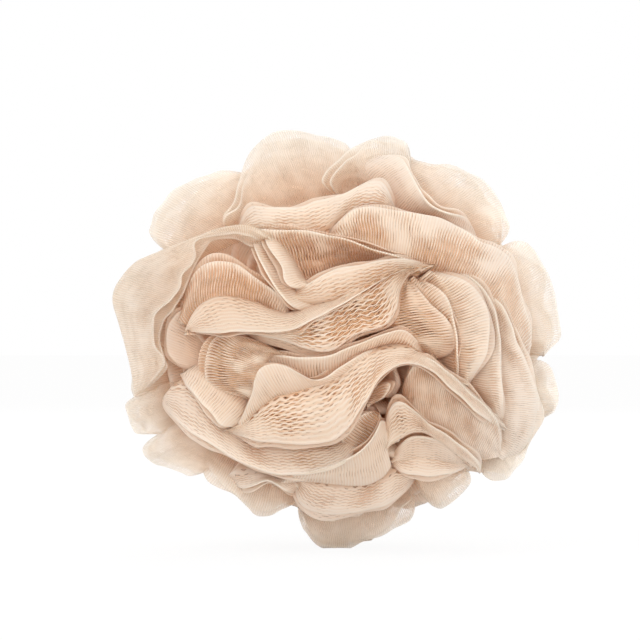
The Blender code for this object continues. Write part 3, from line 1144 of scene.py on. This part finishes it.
def thread_lines(nodes, links, threads, split, openness):
    """How far a point is from the nearest of every second thread, and from the nearest thread of all."""
    wander = noise_node(nodes, links, threads, WANDER_SCALE, 1.0)
    wander = math_node(nodes, links, "MULTIPLY_ADD", wander, WANDER, -WANDER / 2)
    across = math_node(nodes, links, "ADD", split.outputs[0], wander)
    curl = math_node(nodes, links, "MULTIPLY", split.outputs[1], 2 * math.pi / HOLE_LENGTH)
    curl = math_node(nodes, links, "COSINE", curl)
    give = math_node(nodes, links, "MULTIPLY_ADD", openness, THREAD_CURL, THREAD_CURL * CLOSED_CURL)
    curl = math_node(nodes, links, "MULTIPLY", curl, give)
    even = math_node(nodes, links, "SUBTRACT", across, curl)
    even = math_node(nodes, links, "PINGPONG", even, THREAD_STEP)
    odd = math_node(nodes, links, "ADD", across, curl)
    odd = math_node(nodes, links, "SUBTRACT", odd, THREAD_STEP)
    odd = math_node(nodes, links, "PINGPONG", odd, THREAD_STEP)
    return even, math_node(nodes, links, "MINIMUM", even, odd)


def thread_cover(nodes, links, threads, away, openness):
    """Where there is thread and where a hole: the threads are thin and the holes wide in open net."""
    thinned = OPEN_THREAD - CLOSED_THREAD
    width = math_node(nodes, links, "MULTIPLY_ADD", openness, thinned, CLOSED_THREAD)
    uneven = noise_node(nodes, links, threads, UNEVEN_SCALE, 2.0)
    uneven = math_node(nodes, links, "MULTIPLY_ADD", uneven, UNEVEN_THREAD, -UNEVEN_THREAD / 2)
    width = math_node(nodes, links, "ADD", width, uneven)
    covered = math_node(nodes, links, "SUBTRACT", width, away)
    covered = math_node(nodes, links, "MULTIPLY_ADD", covered, THREAD_SHARPNESS, 0.5)
    covered = math_node(nodes, links, "MINIMUM", covered, 1.0)
    covered = math_node(nodes, links, "MAXIMUM", covered, 0.0)
    solid = math_node(nodes, links, "MULTIPLY_ADD", attribute(nodes, "film"), -FILM_CLEARNESS, 1.0)
    return math_node(nodes, links, "MULTIPLY", covered, solid)


def net_colour(nodes, links, even, openness, sheer, faded, streak):
    """Cream threads with peach grooves, painted highlights at folded edges, and painted shade deep in the
    ball and behind other layers.
    """
    place = nodes.new("ShaderNodeTexCoord")
    blotch = noise_node(nodes, links, place.outputs["Object"], BLOTCH_SCALE, 2.0)
    shade = mixed_colour(nodes, links, blotch, NET_SHADE, NET_PALE)
    # Painted light: paler where the net is sheer at the free rim, as if lit through from behind
    shade = mixed_colour(nodes, links, sheer, shade, NET_SHEER_BACKLIT)
    groove = math_node(nodes, links, "MULTIPLY_ADD", openness, GROOVE_OPEN, GROOVE_CLOSED)
    groove = math_node(nodes, links, "MULTIPLY", even, groove)
    groove = math_node(nodes, links, "MULTIPLY", groove, faded)
    shade = mixed_colour(nodes, links, groove, shade, NET_GROOVE)
    # Painted highlight along folded edges, partly the denser doubled net
    edge_highlight = math_node(nodes, links, "MULTIPLY", attribute(nodes, "fold"), EDGE_HIGHLIGHT)
    shade = mixed_colour(nodes, links, edge_highlight, shade, NET_EDGE_HIGHLIGHT)
    streaked = math_node(nodes, links, "MULTIPLY_ADD", streak, STREAK_CONTRAST, -STREAK_CUT)
    streaked = math_node(nodes, links, "MULTIPLY", streaked, faded)
    shade = mixed_colour(nodes, links, streaked, shade, NET_STREAK)
    # Painted shade: browner where the net lies deep in the ball
    shade = mixed_colour(nodes, links, attribute(nodes, "depth"), shade, NET_PAINTED_RECESS_SHADE)
    # Painted shade: browner on layers that lie behind another
    return mixed_colour(nodes, links, attribute(nodes, "behind"), shade, NET_PAINTED_SHADE_BEHIND)


def knit_bump(nodes, links, split, even, away, faded, streak):
    """The relief of the threads, their pairs, the streaks of the pleats and the small knitted loops."""
    ridge = math_node(nodes, links, "MULTIPLY_ADD", away, -THREAD_RIDGE, RIDGE_LEVEL)
    ridge = math_node(nodes, links, "MULTIPLY_ADD", even, -PAIR_RIDGE, ridge)
    ridge = math_node(nodes, links, "MULTIPLY_ADD", streak, -STREAK_RIDGE, ridge)
    loops = math_node(nodes, links, "MULTIPLY", split.outputs[1], 2 * math.pi / LOOP_LENGTH)
    loops = math_node(nodes, links, "SINE", loops)
    ridge = math_node(nodes, links, "MULTIPLY_ADD", loops, LOOP_RIDGE, ridge)
    ridge = math_node(nodes, links, "MULTIPLY", ridge, faded)
    return bump_node(nodes, links, ridge, NET_BUMP, NET_RELIEF)


def net_material():
    """Soft peach knitted net: wavy threads with long holes between, which close where it is folded."""
    material, nodes, links = new_material("peach_knitted_net")
    threads = nodes.new("ShaderNodeUVMap")
    threads.uv_map = "threads"
    threads = threads.outputs[0]
    split = nodes.new("ShaderNodeSeparateXYZ")
    links.new(threads, split.inputs[0])
    drawn = nodes.new("ShaderNodeMapping")
    drawn.inputs["Scale"].default_value = STREAK_SCALE
    links.new(threads, drawn.inputs["Vector"])
    streak = noise_node(nodes, links, drawn.outputs[0], 1.0, 3.0)
    openness = attribute(nodes, "openness")
    sheer = attribute(nodes, "sheer")
    faded = math_node(nodes, links, "MULTIPLY_ADD", sheer, -SHEER_FADE, 1.0)
    even, away = thread_lines(nodes, links, threads, split, openness)
    covered = thread_cover(nodes, links, threads, away, openness)
    shade = net_colour(nodes, links, even, openness, sheer, faded, streak)
    bump = knit_bump(nodes, links, split, even, away, faded, streak)

    cloth = nodes.new("ShaderNodeBsdfPrincipled")
    cloth.inputs["Roughness"].default_value = NET_ROUGHNESS
    cloth.inputs["Specular IOR Level"].default_value = NET_SPECULAR
    cloth.inputs["Sheen Weight"].default_value = NET_SHEEN
    cloth.inputs["Sheen Roughness"].default_value = NET_SHEEN_ROUGHNESS
    links.new(shade, cloth.inputs["Base Color"])
    links.new(bump, cloth.inputs["Normal"])
    through = nodes.new("ShaderNodeBsdfTranslucent")
    links.new(shade, through.inputs[0])
    links.new(bump, through.inputs[1])
    hole = nodes.new("ShaderNodeBsdfTransparent")
    soft = mixed_shader(nodes, links, NET_TRANSLUCENCE, cloth.outputs[0], through.outputs[0])
    finish_material(nodes, links, mixed_shader(nodes, links, covered, hole.outputs[0], soft))
    return material


def cord_material():
    """Twisted pale cord of the tie."""
    material, nodes, links = new_material("pale_twisted_cord")
    place = nodes.new("ShaderNodeTexCoord")
    twist = nodes.new("ShaderNodeTexWave")
    twist.inputs["Scale"].default_value = TWIST_SCALE
    twist.inputs["Distortion"].default_value = TWIST_DISTORTION
    links.new(place.outputs["Object"], twist.inputs["Vector"])
    shade = mixed_colour(nodes, links, twist.outputs[1], CORD_SHADE, CORD_PALE)
    cord = nodes.new("ShaderNodeBsdfPrincipled")
    cord.inputs["Roughness"].default_value = CORD_ROUGHNESS
    links.new(shade, cord.inputs["Base Color"])
    links.new(bump_node(nodes, links, twist.outputs[1], CORD_BUMP, CORD_RELIEF), cord.inputs["Normal"])
    finish_material(nodes, links, cord.outputs[0])
    return material


def floor_material():
    """White paper that keeps a soft shadow of the ball."""
    material, nodes, links = new_material("white_paper")
    paper = nodes.new("ShaderNodeBsdfDiffuse")
    paper.inputs[0].default_value = (*FLOOR_GREY, 1.0)
    glow = nodes.new("ShaderNodeEmission")
    glow.inputs[0].default_value = (*WHITE, 1.0)
    seen = nodes.new("ShaderNodeLightPath")
    share = math_node(nodes, links, "MULTIPLY", seen.outputs["Is Camera Ray"], FLOOR_GLOW)
    finish_material(nodes, links, mixed_shader(nodes, links, share, paper.outputs[0], glow.outputs[0]))
    return material


def add_floor():
    """A wide white floor, which is no part of the pouf."""
    bm = bmesh.new()
    bmesh.ops.create_grid(bm, x_segments=1, y_segments=1, size=FLOOR_HALF_SIZE)
    mesh = bpy.data.meshes.new("floor")
    bm.to_mesh(mesh)
    bm.free()
    mesh.materials.append(floor_material())
    floor = bpy.data.objects.new("floor", mesh)
    bpy.context.collection.objects.link(floor)


def background(nodes, colour, strength):
    node = nodes.new("ShaderNodeBackground")
    node.inputs[0].default_value = (*colour, 1.0)
    node.inputs[1].default_value = strength
    return node.outputs[0]


def add_world():
    """An even pale room, which the camera sees as white."""
    world = bpy.data.worlds.new("pale_room")
    world.use_nodes = True
    nodes, links = world.node_tree.nodes, world.node_tree.links
    nodes.clear()
    seen = nodes.new("ShaderNodeLightPath").outputs
    direct = math_node(nodes, links, "MAXIMUM", seen["Is Camera Ray"], seen["Is Glossy Ray"])
    direct = math_node(nodes, links, "MAXIMUM", direct, seen["Is Transmission Ray"])
    room = background(nodes, ROOM_COLOUR, ROOM_LIGHT)
    white = background(nodes, WHITE, 1.0)
    out = nodes.new("ShaderNodeOutputWorld")
    links.new(mixed_shader(nodes, links, direct, room, white), out.inputs[0])
    bpy.context.scene.world = world


def add_lamp(name, place, size, watts, colour):
    """A soft square lamp that faces the ball."""
    light = bpy.data.lights.new(name, "AREA")
    light.size = size
    light.energy = watts
    light.color = colour
    lamp = bpy.data.objects.new(name, light)
    lamp.location = place
    lamp.rotation_euler = (BALL_CENTRE - Vector(place)).to_track_quat("-Z", "Y").to_euler()
    bpy.context.collection.objects.link(lamp)


def add_camera():
    """The photograph's view: level with the ball, from a little over a metre."""
    camera = bpy.data.cameras.new("camera")
    camera.sensor_width = SENSOR_WIDTH
    camera.lens = SENSOR_WIDTH * CAMERA_DISTANCE / (PHOTO_SIZE * PIXEL)
    camera.clip_start = CAMERA_NEAR
    stand = bpy.data.objects.new("camera", camera)
    stand.location = (CAMERA_X, -CAMERA_DISTANCE, CAMERA_Z)
    stand.rotation_euler = (math.radians(90), 0, 0)
    bpy.context.collection.objects.link(stand)
    bpy.context.scene.camera = stand


def main():
    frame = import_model()
    add_camera()
    add_net(net_material())
    tie = frame["nodes"]["waist_tie"]
    cord = cord_material()
    for slot in tie.material_slots:
        slot.material = cord
    add_floor()
    add_world()
    for lamp in LAMPS:
        add_lamp(*lamp)
    scene = bpy.context.scene
    scene.view_settings.view_transform = "Standard"
    scene.cycles.max_bounces = MAX_BOUNCES
    scene.cycles.diffuse_bounces = SOFT_BOUNCES
    scene.cycles.transmission_bounces = SOFT_BOUNCES
    scene.cycles.transparent_max_bounces = HOLE_BOUNCES


main()
